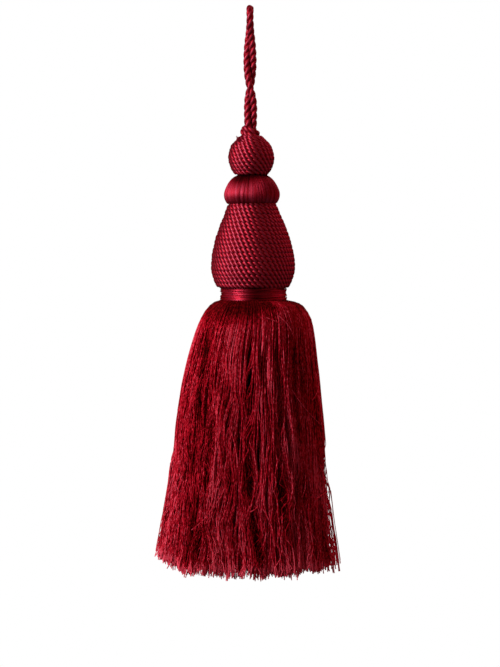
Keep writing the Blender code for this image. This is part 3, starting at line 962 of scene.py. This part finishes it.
def skirt_threads(rng, count, points, near, deep, shorter, free):
    """The threads' lines in metres, where each starts round the neck, and their tone."""
    start = rng.uniform(-math.pi, math.pi, (count, 1))
    rightward = np.maximum(np.cos(start), 0)
    depth = near + (deep - near) * rng.uniform(0, 1, (count, 1)) ** OUTER_CROWDING
    lock, to_lock = nearest(start, lock_angles)
    strand, to_strand = nearest(start, strand_angles)
    cut = hem_cut(rng, start, lock, strand, shorter)
    fractions = np.linspace(0, 1, points) ** ROOT_CROWDING
    far = fractions * np.interp(cut, outline_drop, outline_far)
    drop = np.interp(far, outline_far, outline_drop) + ROOT_DEPTH * depth * (1 - fractions)
    radius = np.interp(far, outline_far, outline_radius)

    held = sets_in(drop, *GATHER_FROM) * (1 - LETS_GO * fractions**6)
    drawn = along_drop(lock_hold, lock, drop) * to_lock + along_drop(strand_hold, strand, drop) * to_strand
    sway = along_drop(lock_sway, lock, drop) + along_drop(strand_sway, strand, drop)
    size, waves = THREAD_SWAY
    sway = sway + wandering(rng, count, drop, size * free, waves)
    stray = rng.normal(0, THREAD_STRAY, (count, 1)) * fractions**3
    push = along_drop(lock_push, lock, drop) + along_drop(strand_push, strand, drop)
    size, waves = THREAD_PUSH
    push = push + wandering(rng, count, drop, size * free, waves)
    push = push + LOCK_ROUND * (LOCK_ROUND_OUTSIDE - (to_lock * LOCKS / math.pi) ** 2)
    freed = sets_in(drop, *FREE_FROM)
    swaying = np.maximum(sets_in(drop, *SWAY_FROM), LEAST_SWAY) * freed
    angle = start + held * drawn
    angle = angle + (swaying * sway + stray) / radius
    tone = rng.uniform(*THREAD_TONE, (count, 1))
    tone = tone + along_drop(lock_tone, lock, drop) + along_drop(strand_tone, strand, drop)
    angle, push, tone = parted(drop, angle, radius, depth, push, tone)

    stands_off = PUSHED_OUT
    if free > 1:
        stands_off = PUSHED_OUT + LOOSE_STANDS_OFF * rng.uniform(0, 1, (count, 1)) * fractions**3
        push = push + stands_off
        depth = depth * (1 - LOOSE_OUT_RIGHT * rightward)
        tone = tone - LOOSE_TONE + LOOSE_END_TONE * fractions
    else:
        on_surface = 1 - sets_in(depth, 0, SURFACE_DEPTH)
        tuck = BODY_TUCK + BODY_TUCK_RIGHT * np.cos(start)
        tuck = tuck * (1 - SURFACE_KEPT_RIGHT * rightward * on_surface)
        depth = depth + tuck * sets_in(drop, *TUCK_FROM)
    radius = radius * (1 - depth) + freed * np.clip(push, -PUSHED_IN, stands_off)
    middle = read_off(drop, SKIRT_DRIFT)
    lines = np.stack([middle + radius * np.cos(angle), radius * np.sin(angle), -drop], axis=-1) * MM
    # Painted shade at the roots, and painted light at the cut ends
    lit = sets_in(drop, read_off(np.degrees(start), ROOT_SHADE), ROOT_SHADE_FADES)
    tip = sets_in(drop - cut, -TIP_LENGTH, TIP_LENGTH)
    return lines, start[:, 0], tone * lit - ROOT_PAINTED_SHADE * (1 - lit) + TIP_PAINTED_LIGHT * tip


def thread_piece(name, lines, tone, rng):
    """A piece of the skirt, with a thread along each line."""
    taper = np.interp(np.linspace(0, 1, lines.shape[1]), (0, FRAYS_FROM, 1), (1, 1, FRAYED))
    # The nudge gives a point on the axis a way to face.
    outward = unit(lines * [1.0, 1.0, 0.0] + [0.0, 1e-6, 0.0])
    threads = tubes(lines, THREAD_SIDES, THREAD_RADIUS * MM * taper, outward)
    threads.normals = unit(unit(threads.points - lines[:, :, None]) + LEAN_OUT * outward[:, :, None])
    threads.tone = tone[..., None] + 0 * threads.tone
    threads.thread = rng.uniform(0, FIBRES_APART, (len(lines), 1, 1)) + 0 * threads.tone
    made = piece(name, [threads], cut_silk)
    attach(made, "root")
    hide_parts("skirt")


rng = np.random.default_rng(SKIRT_SEED + 1)
for name, count, points, *depths in SKIRT_LAYERS:
    lines, start, tone = skirt_threads(rng, count, points, *depths)
    if name == "outer":
        quarter = np.floor((start + math.pi) / (math.pi / 2)).astype(int)
        for k, side_name in enumerate(QUARTERS):
            thread_piece("skirt_outer_" + side_name, lines[quarter == k], tone[quarter == k], rng)
    else:
        thread_piece("skirt_" + name, lines, tone, rng)


# Stray threads.
# A few of the skirt's threads have worked loose and lie across its front, each bowed a little:
# (x and drop of one end, the same of the other, and how far it bows), in mm.
STRAYS = (
    (8.0, 151.6, 16.5, 156.1, 1.0), (20.0, 186.1, 36.0, 206.1, -1.0), (34.0, 185.6, 30.5, 193.1, 0.8),
    (-17.5, 242.6, -28.5, 255.1, 1.2), (38.5, 238.1, 31.5, 241.6, -0.8), (4.0, 242.6, 0.0, 245.6, 0.5),
    (13.0, 150.0, 21.0, 160.0, 1.5), (6.0, 232.0, 10.0, 252.0, -1.2), (-10.0, 205.0, -6.0, 224.0, 0.9),
)
STRAY_POINTS = 14
STRAY_TONE = 0.9
# They stand off the skirt by this much at their ends, and by this much more at their middle.
STRAY_OFF = 0.2
STRAY_ARCH = 0.8


def stray_line(x_from, drop_from, x_to, drop_to, bow):
    """The line of one stray thread, in metres."""
    share = np.linspace(0, 1, STRAY_POINTS)
    arch = np.sin(math.pi * share)
    x = x_from + (x_to - x_from) * share + bow * arch
    drop = drop_from + (drop_to - drop_from) * share
    reach = np.interp(drop, outline_drop, outline_radius) + STRAY_OFF + STRAY_ARCH * arch
    y = -np.sqrt(reach**2 - (x - read_off(drop, SKIRT_DRIFT)) ** 2)
    return np.stack([x, y, -drop], axis=-1) * MM


stray_lines = np.array([stray_line(*stray) for stray in STRAYS])
thread_piece("skirt_strays", stray_lines, np.full(stray_lines.shape[:2], STRAY_TONE), rng)


# Studio.
# A white floor well under the hem in a white room. A soft key light stands in front on the left,
# above the tassel, with a weak side light beyond it, a weak warm fill on the right, and a light
# high behind on the right.
FLOOR_DROP = 0.5
FLOOR_SIZE = 12.0
FLOOR_GLOW = 0.2
WHITE = linear("#ffffff")
# What the silk mirrors of a room that glows dimly with its own colour
ROOM_COLOUR = linear("#ff7878")
ROOM_GLOW = 0.32

floor_mesh = bpy.data.meshes.new("floor")
half = FLOOR_SIZE / 2
floor_corners = [(x * half, y * half, -FLOOR_DROP) for x, y in ((-1, -1), (1, -1), (1, 1), (-1, 1))]
floor_mesh.from_pydata(floor_corners, [], [(0, 1, 2, 3)])
floor = bpy.data.objects.new("floor", floor_mesh)
bpy.context.scene.collection.objects.link(floor)
# White paper, evenly lit: it gives the underside of the head and skirt a weak light from below.
paper = bpy.data.materials.new("white_paper")
paper.use_nodes = True
paper.node_tree.nodes.clear()
white = add_node(paper.node_tree, "ShaderNodeEmission", {"Color": WHITE, "Strength": FLOOR_GLOW}, {})
add_node(paper.node_tree, "ShaderNodeOutputMaterial", {}, {"Surface": (white, "Emission")})
floor_mesh.materials.append(paper)
floor.visible_shadow = False
# The camera sees the white room instead, so that the tassel shows from below too.
floor.visible_camera = False

world = bpy.data.worlds.new("white_room")
bpy.context.scene.world = world
world.use_nodes = True
world.node_tree.nodes.clear()
rays = add_node(world.node_tree, "ShaderNodeLightPath", {}, {})
dim_light = {"Color": ROOM_COLOUR, "Strength": ROOM_GLOW}
dim = add_node(world.node_tree, "ShaderNodeBackground", dim_light, {})
bright = add_node(world.node_tree, "ShaderNodeBackground", {"Color": WHITE}, {})
room = add_node(
    world.node_tree,
    "ShaderNodeMixShader",
    {},
    {0: (rays, "Is Camera Ray"), 1: (dim, "Background"), 2: (bright, "Background")},
)
add_node(world.node_tree, "ShaderNodeOutputWorld", {}, {"Surface": (room, "Shader")})


def softbox(name, azimuth, elevation, distance, width, height, power, colour):
    """A rectangular light that faces the tassel. azimuth is from straight in front, to the right."""
    light = bpy.data.lights.new(name, "AREA")
    light.shape = "RECTANGLE"
    light.size = width
    light.size_y = height
    light.energy = power
    light.color = linear(colour)[:3]
    made = bpy.data.objects.new(name, light)
    azimuth, elevation = math.radians(azimuth), math.radians(elevation)
    made.location = (
        distance * math.cos(elevation) * math.sin(azimuth),
        -distance * math.cos(elevation) * math.cos(azimuth),
        PICTURE_MIDDLE + distance * math.sin(elevation),
    )
    made.rotation_euler = (math.pi / 2 - elevation, 0.0, azimuth)
    bpy.context.scene.collection.objects.link(made)


# (name, degrees round, degrees up, distance, width and height in metres, watts, colour)
softbox("key", -59, 26, 1.3, 0.5, 0.7, 28.5, "#fff2f0")
softbox("side_light", -112, 5, 1.3, 0.8, 1.2, 2.6, "#fff0f0")
softbox("fill", 92, 5, 1.3, 1.3, 1.3, 3.5, "#f46a74")
softbox("back_light", 130, 42, 1.4, 0.8, 0.8, 5.0, "#ffe8f0")
